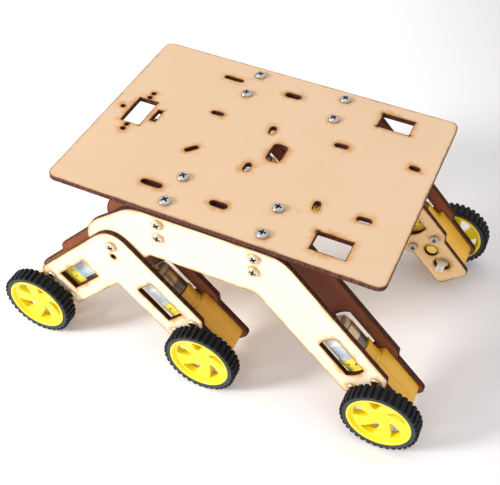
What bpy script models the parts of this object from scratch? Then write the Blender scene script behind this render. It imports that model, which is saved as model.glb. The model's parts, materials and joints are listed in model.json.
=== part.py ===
"""A six-wheel rocker-bogie chassis of cut fibreboard sheets, with a gear motor at every wheel."""
import math

import bmesh
import bpy
from mathutils import Vector

# ---------------------------------------------------------------- dimensions, metres
# +X is forward, +Y is the left side, the wheels stand on Z = 0.
SHEET = 0.0030                       # fibreboard thickness
GAP = 0.0003                         # between pieces that touch
S45 = math.sqrt(0.5)

# the deck, measured from the centre of its top face
DECK_L, DECK_W, DECK_R = 0.2000, 0.1480, 0.0050
DECK_X, DECK_TOP = 0.0040, 0.1238
LEAN = math.radians(2.3)             # deck and rockers lean nose down
SERVO_WINDOW = (-0.0808, -0.0004, 0.0124, 0.0240)     # x, y, length, width
SWITCH_WINDOW = (0.0650, 0.0565, 0.0200, 0.0138)
CENTRE_HOLE = (0.0101, -0.0003, 0.0086, 0.0160)
SENSOR_SLOT = (-0.0691, 0.0000, 0.0032, 0.0106)
WINDOW_CORNER, CENTRE_CORNER = 0.0005, 0.0028
SERVO_HOLES = (
    (-0.0813, 0.0187), (-0.0816, 0.0143), (-0.0923, -0.0004), (-0.0814, -0.0150), (-0.0815, -0.0193))
SERVO_HOLE_R = 0.0015
DECK_SLOTS = (                       # x, y, length, width, angle in degrees
    (-0.0428, 0.0552, 0.0130, 0.0028, 0), (-0.0428, -0.0550, 0.0132, 0.0038, 0),
    (-0.0018, 0.0550, 0.0102, 0.0040, 0), (-0.0018, -0.0542, 0.0106, 0.0042, 0),
    (-0.0370, 0.0184, 0.0082, 0.0032, 3), (-0.0363, -0.0184, 0.0086, 0.0030, 48),
    (0.0419, 0.0222, 0.0084, 0.0036, 4), (0.0869, 0.0218, 0.0066, 0.0036, -3),
    (-0.0002, 0.0178, 0.0080, 0.0036, 97), (-0.0004, -0.0189, 0.0076, 0.0036, 90),
    (0.0471, -0.0319, 0.0080, 0.0038, 94), (0.0744, -0.0311, 0.0086, 0.0040, 3),
)

# screws that hold the deck's brackets
SCREW_X, SCREW_Y_IN, SCREW_Y_OUT = 0.0290, 0.0434, 0.0652
SCREW_R, SCREW_HOLE, SCREW_TAIL = 0.0014, 0.0016, -0.0085
HEAD_RINGS = ((0.0035, GAP), (0.0035, 0.0011), (0.0026, 0.0024))      # radius, height
SIDE_SCREWS = (0.0088, 0.0190)       # depth of the bracket screws below the deck's top
BRACKET_T, BRACKET_HALF, BRACKET_DOWN, BRACKET_ACROSS = 0.0012, 0.0060, 0.0210, 0.0120

# rockers and bogies
BEAM = 0.0330                        # width of every arm and leg
HALF = BEAM / 2
WHEEL_R, WHEEL_W, WHEEL_GAP = 0.0235, 0.0094, 0.0024
FRONT_X, PIVOT_X, PIVOT_Z, AXLE_HALF = 0.1140, -0.0560, 0.0897, 0.0580
LEG_NARROW, LEG_END, LEG_R = 0.0125, -0.0145, 0.0040
STEP_HIGH, STEP_LOW, STEP_R = 0.0195, 0.0150, 0.0010
ELBOW_R, INNER_ELBOW_R, PEAK_R = 0.0180, 0.0020, 0.0120
END_R, END_FROM, END_TO = 0.0182, 129, 321            # the rocker's round end at the pivot, degrees
BOLT_U, BOLT_N = 0.0205, 0.00875     # motor bolts, from the axle along and across the leg
BOSS_U, BOSS_R, AXLE_HOLE = 0.0125, 0.0043, 0.0050
ROCKER_WINDOW = (0.0300, 0.0556, 0.0008, 0.0065, 0.0016)   # from, to, offset, half width, bow
BOGIE_WINDOW = (0.0288, 0.0558, 0.0, 0.0066, 0.0)
LOCK_DROP, LOCK_R = 0.0086, 0.0017   # the locking hole below the pivot
ROCKER_IN, ROCKER_OUT = 0.0496, 0.0716   # inner faces of the two rocker plates
LAYER = SHEET + GAP                      # the bogie plates sit one layer outboard
PIVOT_R, PIVOT_CLEAR = 0.0015, 0.00006
PIVOT_HEAD = ((0.0030, 0.0), (0.0030, 0.0008), (0.0024, 0.0018))
PIVOT_TAIL, NUT_R, NUT_T = 0.0034, 0.00318, 0.0024

# gear motors, measured from the output shaft
MOTOR_T, MOTOR_N, MOTOR_R = 0.0184, 0.0112, 0.0040    # thickness, half height, nose corners
GEAR_BACK, GEAR_FRONT = 0.0256, -0.0114
COLLAR_R, COLLAR_FLAT, COLLAR_END = 0.0109, 0.0080, 0.0370
CAN_RINGS = (                        # place along the motor, radius, half flat
    (COLLAR_END + GAP, 0.0100, 0.0075), (0.0530, 0.0100, 0.0075), (0.0530, 0.0092, 0.0067),
    (0.0564, 0.0088, 0.0063), (0.0564, 0.0030, 0.0030), (0.0582, 0.0030, 0.0030))
SHAFT_R, SHAFT_FLAT, SHAFT_OUT = 0.0027, 0.00185, 0.0090
SHAFT_CLEAR = 0.00008

# wheels, measured outwards from the tyre's inner face
LUGS, LUG_DEPTH, LUG_TOP, LUG_FOOT = 36, 0.0011, 0.28, 0.36
TYRE_IN, RIM_OUT, RIM_LIP, DISC_R = 0.0194, 0.0190, 0.0180, 0.0172
DISC_TOP, HUB_TOP, DISC_T = WHEEL_W - 0.0022, WHEEL_W - 0.0044, 0.0040   # a shallow cone
HUB_R, HUB_NOSE, HUB_STANDOFF, BORE_END, BORE_CLEAR = 0.0052, 0.0042, 0.0018, 0.0046, 0.0001
NOSE_HEIGHT, SPOKES = 0.0008, 5
SWIRL = (                            # radius and angle of one opening between two spokes
    (0.0064, 38), (0.0080, 46), (0.0104, 44), (0.0130, 41), (0.0157, 34),
    (0.0160, 18), (0.0157, 2), (0.0130, 8), (0.0102, 15), (0.0080, 23))


# ---------------------------------------------------------------- flat outlines
def polar(r, angle):
    return (r * math.cos(angle), r * math.sin(angle))


def circle(x, y, r, n=12):
    turns = (math.tau * k / n for k in range(n))
    return [(x + r * math.cos(t), y + r * math.sin(t)) for t in turns]


def flat_round(r, flat, n=20):
    """A circle with two sides cut flat."""
    return [(x, max(-flat, min(flat, y))) for x, y in circle(0, 0, r, n)]


def slot(x, y, length, width, degrees, n=4):
    a, r = math.radians(degrees), width / 2
    pts = []
    for side in (1, -1):
        for k in range(n + 1):
            t = -math.pi / 2 + math.pi * k / n
            u = side * (length / 2 - r + r * math.cos(t))
            v = side * r * math.sin(t)
            pts.append((x + u * math.cos(a) - v * math.sin(a), y + u * math.sin(a) + v * math.cos(a)))
    return pts


def rounded(corners, n=3):
    """Corners are (x, y, radius); each one with a radius is replaced by an arc."""
    pts = []
    for k, (x, y, r) in enumerate(corners):
        if r == 0:
            pts.append((x, y))
            continue
        p = Vector((x, y))
        a = (Vector(corners[k - 1][:2]) - p).normalized()
        b = (Vector(corners[(k + 1) % len(corners)][:2]) - p).normalized()
        half = a.angle(b) / 2
        centre = p + (a + b).normalized() * (r / math.sin(half))
        start = p + a * (r / math.tan(half)) - centre
        end = p + b * (r / math.tan(half)) - centre
        sweep = start.angle_signed(end)
        base = math.atan2(start.y, start.x)
        for j in range(n + 1):
            du, dv = polar(r, base - sweep * j / n)
            pts.append((centre.x + du, centre.y + dv))
    return pts


def box_loop(x, y, length, width, r=WINDOW_CORNER, n=2):
    signs = ((-1, -1), (1, -1), (1, 1), (-1, 1))
    return rounded([(x + i * length / 2, y + j * width / 2, r) for i, j in signs], n)


def leg_frame(axle, sign):
    """Maps distances along and across a leg at 45 degrees to the plane of its plate."""
    return lambda u, n: (axle[0] - sign * S45 * u + sign * S45 * n, axle[1] + S45 * u + S45 * n)


def leg_window(at, low, high, offset, half, bow):
    """An opening between two places up the leg, whose ends bow outwards."""
    steps = (-1, -0.5, 0, 0.5, 1) if bow else (-1, 1)
    ends = [(k, low - bow * (1 - k * k)) for k in steps]
    ends += [(k, high + bow * (1 - k * k)) for k in reversed(steps)]
    return [at(u, offset + k * half) for k, u in ends]


def leg_holes(at):
    bolts = [circle(*at(BOLT_U, s * BOLT_N), SCREW_HOLE, 8) for s in (1, -1)]
    return bolts + [circle(*at(BOSS_U, 0), BOSS_R, 14), circle(*at(0, 0), AXLE_HOLE, 16)]


# ---------------------------------------------------------------- objects and solids
def material(name, colour, roughness, metallic=0.0):
    m = bpy.data.materials.get(name) or bpy.data.materials.new(name)
    m.use_nodes = True
    shader = m.node_tree.nodes["Principled BSDF"]
    shader.inputs["Base Color"].default_value = (*colour, 1.0)
    shader.inputs["Roughness"].default_value = roughness
    shader.inputs["Metallic"].default_value = metallic
    m.diffuse_color = (*colour, 1.0)
    return m


def empty(name, place, parent=None, lean=0.0):
    """A frame that pieces are built in and parented to."""
    ob = bpy.data.objects.new(name, None)
    ob.location = place
    ob.rotation_euler = (0, lean, 0)
    ob.parent = parent
    bpy.context.scene.collection.objects.link(ob)
    return ob


def add(name, bm, mat, frame):
    """Makes the object from a mesh drawn in its frame's own axes."""
    bmesh.ops.remove_doubles(bm, verts=bm.verts, dist=1e-7)
    bmesh.ops.recalc_face_normals(bm, faces=bm.faces)
    mesh = bpy.data.meshes.new(name)
    bm.to_mesh(mesh)
    bm.free()
    mesh.shade_smooth()
    mesh.set_sharp_from_angle(angle=math.radians(32))
    mesh.materials.append(mat)
    ob = bpy.data.objects.new(name, mesh)
    ob.parent = frame
    bpy.context.scene.collection.objects.link(ob)


def flat_fill(groups):
    """Fills each group of loops, outer first then holes. Returns points, triangles and rim edges."""
    bm = bmesh.new()
    for loops in groups:
        edges = []
        for loop in loops:
            vs = [bm.verts.new((x, y, 0)) for x, y in loop]
            edges += [bm.edges.new((vs[k - 1], vs[k])) for k in range(len(vs))]
        bmesh.ops.triangle_fill(bm, edges=edges, use_beauty=True, use_dissolve=False, normal=(0, 0, 1))
    bmesh.ops.remove_doubles(bm, verts=bm.verts, dist=1e-7)
    bm.verts.index_update()
    pts = [(v.co.x, v.co.y) for v in bm.verts]
    tris = [[v.index for v in f.verts] for f in bm.faces]
    rim = [[v.index for v in e.verts] for e in bm.edges if len(e.link_faces) == 1]
    bm.free()
    return pts, tris, rim


def slab(groups, near, far, walled=None):
    """A filled outline between the places near(x, y) and far(x, y), walled round where asked."""
    pts, tris, rim = flat_fill(groups)
    bm = bmesh.new()
    a = [bm.verts.new(near(*p)) for p in pts]
    b = [bm.verts.new(far(*p)) for p in pts]
    for t in tris:
        bm.faces.new([a[k] for k in t])
        bm.faces.new([b[k] for k in reversed(t)])
    for i, j in rim:
        if walled is None or walled(*pts[i]):
            bm.faces.new((a[i], a[j], b[j], b[i]))
    return bm


def level_sheet(name, loops, top, bottom, mat, frame):
    add(name, slab([loops], lambda x, y: (x, y, top), lambda x, y: (x, y, bottom)), mat, frame)


def upright_sheet(name, loops, inner, outer, mat, frame):
    add(name, slab([loops], lambda x, z: (x, inner, z), lambda x, z: (x, outer, z)), mat, frame)


def loft(bm, rings, close=(True, True)):
    """Joins rings of equal length; the first and last are capped where asked."""
    loops = [[bm.verts.new(p) for p in ring] for ring in rings]
    for lo, hi in zip(loops, loops[1:]):
        for k in range(len(lo)):
            bm.faces.new((lo[k - 1], lo[k], hi[k], hi[k - 1]))
    for loop, wanted in ((loops[0], close[0]), (loops[-1], close[1])):
        if wanted:
            bm.faces.new(loop)


def to_deck(x, z):
    """A world point in the leaning frame of the deck and rockers."""
    c, s, dx, dz = math.cos(LEAN), math.sin(LEAN), x - DECK_X, z - DECK_TOP
    return (dx * c - dz * s, dx * s + dz * c)


# ---------------------------------------------------------------- deck
def build_deck(mat, frame):
    holes = [box_loop(*SERVO_WINDOW), box_loop(*SENSOR_SLOT), box_loop(*CENTRE_HOLE, CENTRE_CORNER, 3)]
    x, y, length, width = SWITCH_WINDOW
    holes += [box_loop(x, s * y, length, width) for s in (1, -1)]
    holes += [circle(x, y, SERVO_HOLE_R, 8) for x, y in SERVO_HOLES]
    holes += [slot(*numbers) for numbers in DECK_SLOTS]
    corners = [(i * SCREW_X, j * y) for i in (1, -1) for j in (1, -1) for y in (SCREW_Y_IN, SCREW_Y_OUT)]
    holes += [circle(x, y, SCREW_HOLE, 8) for x, y in corners]
    outline = box_loop(0, 0, DECK_L, DECK_W, DECK_R, 4)
    level_sheet("deck_plate", [outline] + holes, 0, -SHEET, mat, frame)


def build_bracket(name, cx, side, face, screw_y, mat, frame):
    """An angle: its upright lies inside a plate at face, its level leg under the deck."""
    top = -SHEET - GAP
    w = BRACKET_HALF
    upright = [[(-w, -BRACKET_DOWN), (w, -BRACKET_DOWN), (w, 0), (-w, 0)]]
    upright += [circle(0, -(depth + top), SCREW_HOLE, 8) for depth in SIDE_SCREWS]
    level = [[(-w, 0), (w, 0), (w, BRACKET_ACROSS), (-w, BRACKET_ACROSS)]]
    level += [circle(0, face - screw_y, SCREW_HOLE, 8)]

    def skin(t):
        """The angle's surface at depth t in its thickness; v runs down one leg and along the other."""
        def at(x, v):
            y = face - v if v > 0 else face - t
            z = top + v if v < 0 else top - t
            return (cx + x, side * y, z)
        return at
    add(name, slab([upright, level], skin(0), skin(BRACKET_T)), mat, frame)


def build_brackets(mat, side, word, frame):
    """Two angles under the deck at each of the two rocker plates."""
    walls = ((ROCKER_OUT - GAP, SCREW_Y_OUT, "outer"), (ROCKER_IN - GAP, SCREW_Y_IN, "inner"))
    for x, place in ((SCREW_X, "front"), (-SCREW_X, "rear")):
        for face, screw_y, where in walls:
            build_bracket(f"deck_bracket_{where}_{place}_{word}", x, side, face, screw_y, mat, frame)


def build_deck_screws(mat, side, word, frame):
    rings = [(SCREW_R, SCREW_TAIL), (SCREW_R, GAP), *HEAD_RINGS]
    for cx, place in ((SCREW_X, "front"), (-SCREW_X, "rear")):
        for y, where in ((SCREW_Y_IN, "inner"), (SCREW_Y_OUT, "outer")):
            bm = bmesh.new()
            loft(bm, [[(x, v, z) for x, v in circle(cx, side * y, r, 10)] for r, z in rings])
            add(f"deck_screw_{where}_{place}_{word}", bm, mat, frame)


# ---------------------------------------------------------------- rockers and bogies
def rocker_loops():
    """The rocker plate in the deck's frame: a level arm, one leg, and a round end at the pivot."""
    axle, pivot = to_deck(FRONT_X, WHEEL_R), to_deck(PIVOT_X, PIVOT_Z)
    at = leg_frame(axle, 1)
    top, low, reach = -SHEET - GAP, -SHEET - GAP - BEAM, HALF / S45
    down, up = axle[0] + axle[1], pivot[0] - pivot[1]
    turns = [math.radians(END_FROM + (END_TO - END_FROM) * k / 10) for k in range(11)]
    arc = [(*(Vector(pivot) + Vector(polar(END_R, t))), 0) for t in turns]
    shoulder = arc[0][0] + (top - arc[0][1]) / math.tan(turns[0] - math.pi / 2)
    foot = [(*at(STEP_LOW, -LEG_NARROW), STEP_R), (*at(LEG_END, -LEG_NARROW), LEG_R),
            (*at(LEG_END, LEG_NARROW), LEG_R), (*at(STEP_LOW, LEG_NARROW), STEP_R)]
    outline = rounded([
        *foot, (*at(STEP_HIGH, HALF), STEP_R),
        (down + reach - top, top, ELBOW_R), (shoulder, top, ELBOW_R), *arc,
        (up + reach + low, low, INNER_ELBOW_R), (down - reach - low, low, INNER_ELBOW_R),
        (*at(STEP_HIGH, -HALF), STEP_R)])
    lock = to_deck(PIVOT_X, PIVOT_Z - LOCK_DROP)
    holes = leg_holes(at) + [leg_window(at, *ROCKER_WINDOW)]
    holes += [circle(*pivot, PIVOT_R + PIVOT_CLEAR, 16), circle(*lock, LOCK_R, 8)]
    holes += [circle(i * SCREW_X, -depth, SCREW_HOLE, 8) for i in (1, -1) for depth in SIDE_SCREWS]
    return [outline] + holes


def bogie_loops():
    """The bogie plate in its pivot's frame: two legs that meet in a rounded peak."""
    drop = WHEEL_R - PIVOT_Z
    right, left = leg_frame((AXLE_HALF, drop), 1), leg_frame((-AXLE_HALF, drop), -1)
    peak, reach = AXLE_HALF + drop, HALF / S45
    half = [((STEP_HIGH, HALF), STEP_R), ((STEP_LOW, LEG_NARROW), STEP_R), ((LEG_END, LEG_NARROW), LEG_R),
            ((LEG_END, -LEG_NARROW), LEG_R), ((STEP_LOW, -LEG_NARROW), STEP_R), ((STEP_HIGH, -HALF), STEP_R)]
    outline = [(0, peak + reach, PEAK_R)] + [(*right(*p), r) for p, r in half]
    outline += [(0, peak - reach, STEP_R)] + [(*left(*p), r) for p, r in reversed(half)]
    holes = [circle(0, 0, PIVOT_R + PIVOT_CLEAR, 16), circle(0, -LOCK_DROP, LOCK_R, 8)]
    for at in (right, left):
        holes += leg_holes(at) + [leg_window(at, *BOGIE_WINDOW)]
    return [rounded(outline)] + holes


def build_plates(mat, side, word, deck_frame, bogie_frame):
    rocker, bogie = rocker_loops(), bogie_loops()
    for y, where in ((ROCKER_IN, "inner"), (ROCKER_OUT, "outer")):
        upright_sheet(f"rocker_{where}_plate_{word}", rocker, side * y, side * (y + SHEET), mat, deck_frame)
        y += LAYER
        upright_sheet(f"bogie_{where}_plate_{word}", bogie, side * y, side * (y + SHEET), mat, bogie_frame)


def build_pivot(mat, side, word):
    """The pivot's bolt and nut, in a frame on the pivot's axis."""
    frame = empty(f"pivot_{word}", (PIVOT_X, 0, PIVOT_Z))
    head, tail, nut = ROCKER_OUT + LAYER + SHEET + GAP, ROCKER_IN - PIVOT_TAIL, ROCKER_IN - GAP
    rings = [(PIVOT_R, tail), (PIVOT_R, head)] + [(r, head + h) for r, h in PIVOT_HEAD]
    bm = bmesh.new()
    loft(bm, [[(x, side * y, z) for x, z in circle(0, 0, r, 16)] for r, y in rings])
    add(f"bogie_pivot_bolt_{word}", bm, mat, frame)
    loops = [circle(0, 0, NUT_R, 6), circle(0, 0, SCREW_HOLE, 12)]
    upright_sheet(f"bogie_pivot_nut_{word}", loops, side * nut, side * (nut - NUT_T), mat, frame)


# ---------------------------------------------------------------- motors
def build_gearbox(name, at, mat, frame):
    """A box with a round nose at the shaft, and a flat-sided collar at the other end."""
    body = rounded([(GEAR_FRONT, -MOTOR_N, MOTOR_R), (GEAR_BACK, -MOTOR_N, 0),
                    (GEAR_BACK, MOTOR_N, 0), (GEAR_FRONT, MOTOR_N, MOTOR_R)])
    holes = [circle(0, 0, SHAFT_R + SHAFT_CLEAR, 24)]
    holes += [circle(BOLT_U, s * BOLT_N, SCREW_HOLE, 8) for s in (1, -1)]
    bm = slab([[body] + holes], lambda u, n: (u, n, -MOTOR_T / 2), lambda u, n: (u, n, MOTOR_T / 2))
    back = next(f for f in bm.faces if min(v.co.x for v in f.verts) > GEAR_BACK - GAP)
    edges = list(back.edges)
    bmesh.ops.delete(bm, geom=[back], context="FACES_ONLY")
    collar = [bm.verts.new((GEAR_BACK, n, y)) for n, y in flat_round(COLLAR_R, COLLAR_FLAT)]
    edges += [bm.edges.new((collar[k - 1], collar[k])) for k in range(len(collar))]
    bmesh.ops.triangle_fill(bm, edges=edges, use_beauty=True, use_dissolve=False, normal=(1, 0, 0))
    end = [bm.verts.new((COLLAR_END, v.co.y, v.co.z)) for v in collar]
    for k in range(len(collar)):
        bm.faces.new((collar[k - 1], collar[k], end[k], end[k - 1]))
    bm.faces.new(end)
    for v in bm.verts:
        v.co = at(*v.co)
    add(name, bm, mat, frame)


def build_can(name, at, mat, frame):
    bm = bmesh.new()
    loft(bm, [[at(u, n, y) for n, y in flat_round(r, flat, 16)] for u, r, flat in CAN_RINGS])
    add(name, bm, mat, frame)


# ---------------------------------------------------------------- wheels
def build_shaft(name, y0, mat, frame):
    half, end = MOTOR_T / 2, MOTOR_T / 2 + SHAFT_OUT
    rings = [(-end, SHAFT_FLAT), (-half, SHAFT_FLAT), (-half, SHAFT_R),
             (half, SHAFT_R), (half, SHAFT_FLAT), (end, SHAFT_FLAT)]
    bm = bmesh.new()
    loft(bm, [[(x, y0 + y, z) for x, z in flat_round(SHAFT_R, flat, 16)] for y, flat in rings])
    add(name, bm, mat, frame)


def swirl(k):
    """The opening before spoke k."""
    return [polar(r, math.radians(a + 360 / SPOKES * k)) for r, a in SWIRL]


def disc_top(x, z):
    """The level of the rim's disc, which is a shallow cone, deepest at the hub."""
    share = (math.hypot(x, z) - HUB_R) / (DISC_R - HUB_R)
    return HUB_TOP + (DISC_TOP - HUB_TOP) * max(0.0, min(1.0, share))


def build_rim(name, face, side, mat, frame):
    """Both sides' rims are one moulding, so the left ones are the right ones turned round."""
    disc = [circle(0, 0, DISC_R, 28), circle(0, 0, HUB_R, 16)] + [swirl(k) for k in range(SPOKES)]

    def is_swirl(x, z):
        return HUB_R + GAP < math.hypot(x, z) < DISC_R - GAP
    bm = slab([disc], lambda x, z: (x, disc_top(x, z), z), lambda x, z: (x, disc_top(x, z) - DISC_T, z),
              is_swirl)
    barrel = [(DISC_R, DISC_TOP), (RIM_LIP, WHEEL_W), (RIM_OUT, WHEEL_W),
              (RIM_OUT, 0), (RIM_OUT - 0.0016, 0), (DISC_R, DISC_TOP - DISC_T)]
    loft(bm, [[(x, y, z) for x, z in circle(0, 0, r, 28)] for r, y in barrel], (False, False))
    nose = ((HUB_R, HUB_TOP), (HUB_NOSE, HUB_TOP + NOSE_HEIGHT))
    loft(bm, [[(x, y, z) for x, z in circle(0, 0, r, 16)] for r, y in nose], (False, True))
    bore = flat_round(SHAFT_R + BORE_CLEAR, SHAFT_FLAT + BORE_CLEAR, 16)
    hub = ((circle(0, 0, HUB_R, 16), HUB_TOP - DISC_T), (circle(0, 0, HUB_R, 16), -HUB_STANDOFF),
           (bore, -HUB_STANDOFF), (bore, BORE_END))
    loft(bm, [[(x, y, z) for x, z in ring] for ring, y in hub], (False, True))
    for v in bm.verts:
        v.co.x *= -side
        v.co.y = side * (face + v.co.y)
    add(name, bm, mat, frame)


def build_tyre(name, face, side, mat, frame):
    step = math.tau / LUGS
    tip, root = WHEEL_R / math.cos(LUG_TOP * step), WHEEL_R - LUG_DEPTH
    lug = ((root, -LUG_FOOT), (tip, -LUG_TOP), (tip, LUG_TOP), (root, LUG_FOOT))
    tread = [polar(r, step * (k + off)) for k in range(LUGS) for r, off in lug]
    loops = [tread, circle(0, 0, TYRE_IN, 24)]
    upright_sheet(name, loops, side * face, side * (face + WHEEL_W), mat, frame)


def build_drive(mats, name, side, frame, axle, sign, inner):
    """A motor between two plates whose inner faces start at inner, and its wheel."""
    y0 = side * (inner + SHEET + GAP + MOTOR_T / 2)
    in_plane = leg_frame(axle, sign)

    def at(u, n, y):
        x, z = in_plane(u, n)
        return Vector((x, y0 + y, z))
    build_gearbox(f"gearbox_{name}", at, mats["gearbox"], frame)
    build_can(f"motor_can_{name}", at, mats["can"], frame)
    spin = empty(f"axle_{name}", (axle[0], 0, axle[1]), frame)
    face = inner + ROCKER_OUT - ROCKER_IN + SHEET + WHEEL_GAP
    build_shaft(f"output_shaft_{name}", y0, mats["shaft"], spin)
    build_rim(f"wheel_rim_{name}", face, side, mats["rim"], spin)
    build_tyre(f"tyre_{name}", face, side, mats["tyre"], spin)


def main():
    for ob in list(bpy.data.objects):
        bpy.data.objects.remove(ob, do_unlink=True)
    deck_board = material("fibreboard", (0.80, 0.58, 0.38), 0.62)
    side_board = material("side_board", (0.90, 0.74, 0.50), 0.62)
    steel = material("screw_steel", (0.72, 0.72, 0.70), 0.28, 1.0)
    zinc = material("bracket_zinc", (0.62, 0.62, 0.60), 0.40, 1.0)
    mats = {"gearbox": material("gearbox_plastic", (0.86, 0.56, 0.08), 0.42),
            "can": material("can_steel", (0.55, 0.53, 0.50), 0.32, 0.9),
            "shaft": material("shaft_nylon", (0.90, 0.90, 0.87), 0.45),
            "rim": material("rim_plastic", (0.98, 0.84, 0.04), 0.38),
            "tyre": material("tyre_rubber", (0.03, 0.035, 0.04), 0.72)}
    deck = empty("deck_frame", (DECK_X, 0, DECK_TOP), lean=LEAN)
    build_deck(deck_board, deck)
    drop = WHEEL_R - PIVOT_Z
    for side, word in ((1, "left"), (-1, "right")):
        bogie = empty(f"bogie_{word}", (PIVOT_X, 0, PIVOT_Z))
        build_brackets(zinc, side, word, deck)
        build_deck_screws(steel, side, word, deck)
        build_plates(side_board, side, word, deck, bogie)
        build_pivot(steel, side, word)
        build_drive(mats, f"front_{word}", side, deck, to_deck(FRONT_X, WHEEL_R), 1, ROCKER_IN)
        build_drive(mats, f"middle_{word}", side, bogie, (AXLE_HALF, drop), 1, ROCKER_IN + LAYER)
        build_drive(mats, f"rear_{word}", side, bogie, (-AXLE_HALF, drop), -1, ROCKER_IN + LAYER)


main()
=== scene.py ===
"""Looks for a six-wheel rocker-bogie chassis of laser-cut fibreboard with yellow gear motors."""

import json
import math

import bmesh
import bpy
import numpy as np
from mathutils import Matrix, Vector
from mathutils.geometry import delaunay_2d_cdt

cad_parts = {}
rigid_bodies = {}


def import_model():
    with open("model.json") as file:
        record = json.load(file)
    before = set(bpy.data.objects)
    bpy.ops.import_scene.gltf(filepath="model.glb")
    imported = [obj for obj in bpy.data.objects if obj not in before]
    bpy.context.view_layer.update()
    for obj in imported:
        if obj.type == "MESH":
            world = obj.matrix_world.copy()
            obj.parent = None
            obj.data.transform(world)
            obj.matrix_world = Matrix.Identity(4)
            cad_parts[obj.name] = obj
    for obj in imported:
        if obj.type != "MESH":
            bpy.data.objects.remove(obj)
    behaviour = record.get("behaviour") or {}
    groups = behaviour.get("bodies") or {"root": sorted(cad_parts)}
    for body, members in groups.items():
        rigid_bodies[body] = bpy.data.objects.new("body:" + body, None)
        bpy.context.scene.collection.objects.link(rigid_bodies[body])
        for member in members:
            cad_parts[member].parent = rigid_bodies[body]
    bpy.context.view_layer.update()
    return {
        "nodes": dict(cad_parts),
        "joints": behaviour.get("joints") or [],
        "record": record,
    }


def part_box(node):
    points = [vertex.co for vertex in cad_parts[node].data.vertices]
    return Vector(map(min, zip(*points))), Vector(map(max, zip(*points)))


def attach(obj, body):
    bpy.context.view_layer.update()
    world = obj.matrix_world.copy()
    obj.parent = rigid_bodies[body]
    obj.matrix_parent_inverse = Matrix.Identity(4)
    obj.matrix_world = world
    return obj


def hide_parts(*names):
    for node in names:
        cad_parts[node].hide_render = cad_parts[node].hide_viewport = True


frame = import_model()

# ---------------------------------------------------------------- places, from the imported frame
MM = 0.001
X, Y, Z = Vector((1, 0, 0)), Vector((0, 1, 0)), Vector((0, 0, 1))
SIDES = (("left", 1), ("right", -1))
PLACES = ("front", "middle", "rear")
JOINTS = {j["name"]: j for j in frame["joints"]}
DECK_UP = Vector(next(m["axis"] for m in frame["record"]["mounts"] if m["name"] == "deck_top"))
DECK_ALONG = Vector((DECK_UP.z, 0, -DECK_UP.x))
LEAN = math.atan2(DECK_UP.x, DECK_UP.z)

# sizes of fine detail, millimetres; the motor is measured up its leg (u), across it (n) and outwards (v)
BOLT_U, BOLT_N, BOSS_U = 20.5, 8.75, 12.5
NOSE_U, BACK_U, HALF_N, HALF_V, NOSE_R = -11.4, 25.6, 11.2, 9.2, 4.0
COLLAR_R, COLLAR_FLAT, COLLAR_U = 10.9, 8.0, 37.0
CAN_R, CAN_FLAT, CAN_U, CAP_U = 10.0, 7.5, 53.0, 56.4
SCREW_DEPTHS = (8.8, 19.0)             # the side screws, below the deck's top face
PLATE, GAP = 3.0, 0.3                  # a board, and the gap from it to a gearbox
BRACKET, SEAT = 1.6, 0.05              # a bracket's leaf with its gaps, and the play under a fastener
DECK_HEAD, PIVOT_HEAD = 2.35, 1.8      # how far the heads of screws and pivot bolts stand out
WHEEL_R, WHEEL_W, LUGS = 23.5, 9.4, 36
TYRE_IN, RIM_R, DISC_R, HUB_R = 19.5, 19.4, 17.3, 5.2
SPOKES = 5


# ---------------------------------------------------------------- materials
class Look:
    """A Principled material, with short ways to add nodes to it."""

    def __init__(self, name, colour, roughness, metallic=0.0, **sockets):
        self.mat = bpy.data.materials.new(name)
        self.mat.use_nodes = True
        self.tree = self.mat.node_tree
        self.shader = self.tree.nodes["Principled BSDF"]
        self.set("Base Color", (*colour, 1.0))
        self.set("Roughness", roughness)
        self.set("Metallic", metallic)
        for key, value in sockets.items():
            self.set(key.replace("_", " "), value)
        self.coords = self.node("ShaderNodeTexCoord").outputs["Object"]

    def set(self, socket, value):
        if isinstance(value, bpy.types.NodeSocket):
            self.tree.links.new(value, self.shader.inputs[socket])
        else:
            self.shader.inputs[socket].default_value = value

    def node(self, kind, inputs=None, **props):
        n = self.tree.nodes.new(kind)
        for key, value in props.items():
            setattr(n, key, value)
        for key, value in (inputs or {}).items():
            if isinstance(value, bpy.types.NodeSocket):
                self.tree.links.new(value, n.inputs[key])
            else:
                n.inputs[key].default_value = value
        return n

    def noise(self, scale, detail=3.0, stretch=(1, 1, 1)):
        at = self.node("ShaderNodeMapping", {"Vector": self.coords, "Scale": stretch}).outputs[0]
        inputs = {"Vector": at, "Scale": scale, "Detail": detail, "Roughness": 0.6}
        return self.node("ShaderNodeTexNoise", inputs).outputs["Fac"]

    def stored(self, name):
        """A number that the mesh keeps at each of its points."""
        return self.node("ShaderNodeAttribute", attribute_name=name).outputs["Fac"]

    def calc(self, operation, a, b):
        return self.node("ShaderNodeMath", {0: a, 1: b}, operation=operation).outputs[0]

    def fit(self, value, low, high, to_low=0.0, to_high=1.0):
        inputs = {"Value": value, "From Min": low, "From Max": high, "To Min": to_low, "To Max": to_high}
        return self.node("ShaderNodeMapRange", inputs, interpolation_type="SMOOTHSTEP").outputs[0]

    def mix(self, factor, a, b):
        n = self.node("ShaderNodeMix", data_type="RGBA")
        for index, value in ((0, factor), (6, a), (7, b)):
            if isinstance(value, bpy.types.NodeSocket):
                self.tree.links.new(value, n.inputs[index])
            else:
                n.inputs[index].default_value = (*value, 1.0) if isinstance(value, tuple) else value
        return n.outputs[2]

    def bump(self, height, distance, strength=1.0):
        inputs = {"Height": height, "Distance": distance, "Strength": strength}
        self.set("Normal", self.node("ShaderNodeBump", inputs).outputs[0])


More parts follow.
